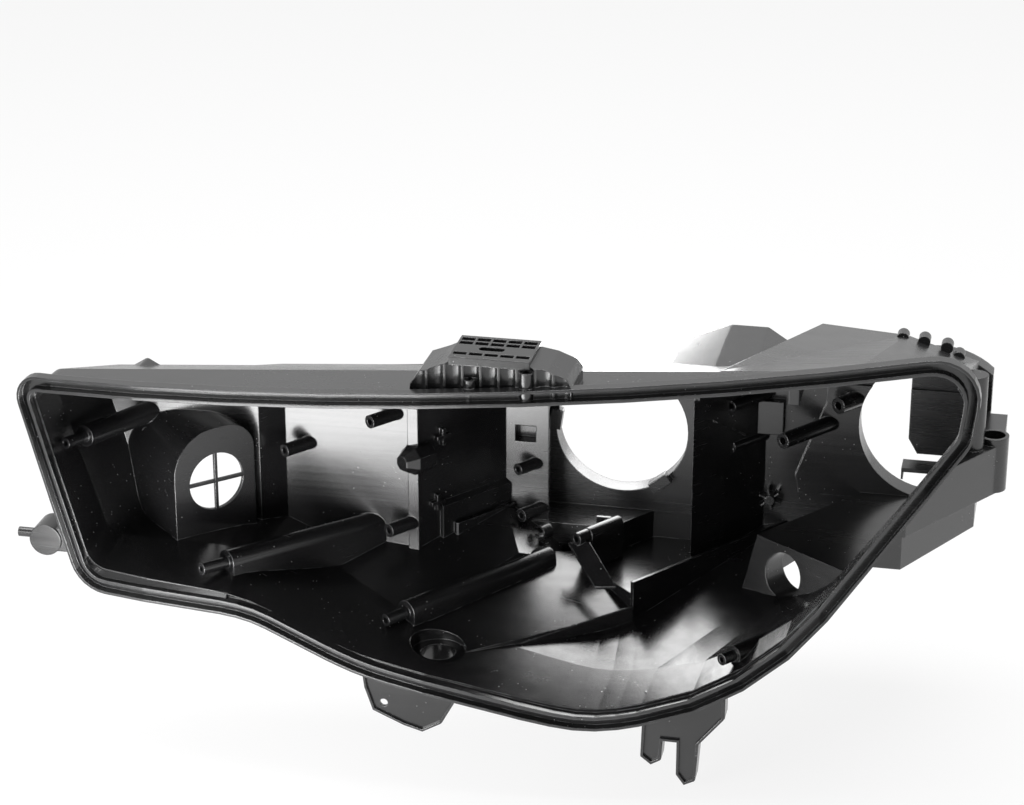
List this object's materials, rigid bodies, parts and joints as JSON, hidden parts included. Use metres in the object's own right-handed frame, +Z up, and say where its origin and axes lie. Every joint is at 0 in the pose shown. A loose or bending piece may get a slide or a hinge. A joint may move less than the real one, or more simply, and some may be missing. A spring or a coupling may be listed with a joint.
{
  "type": "headlamp housing",
  "caption": "Moulded plastic back shell of a car headlamp, with seal flange, stepped back walls, screw bosses, service openings and fixing brackets.",
  "frame": {"origin": "centre of the large service opening, on the front face of its wall", "axes": "+X along the lamp towards its upright bush, +Y to the back along the axis of the large service opening, +Z up"},
  "size_m": [0.7072, 0.2964, 0.3279],
  "materials": {
    "housing_plastic": "satin"
  },
  "bodies": {
    "root": {"housing": "housing_plastic"}
  },
  "joints": []
}
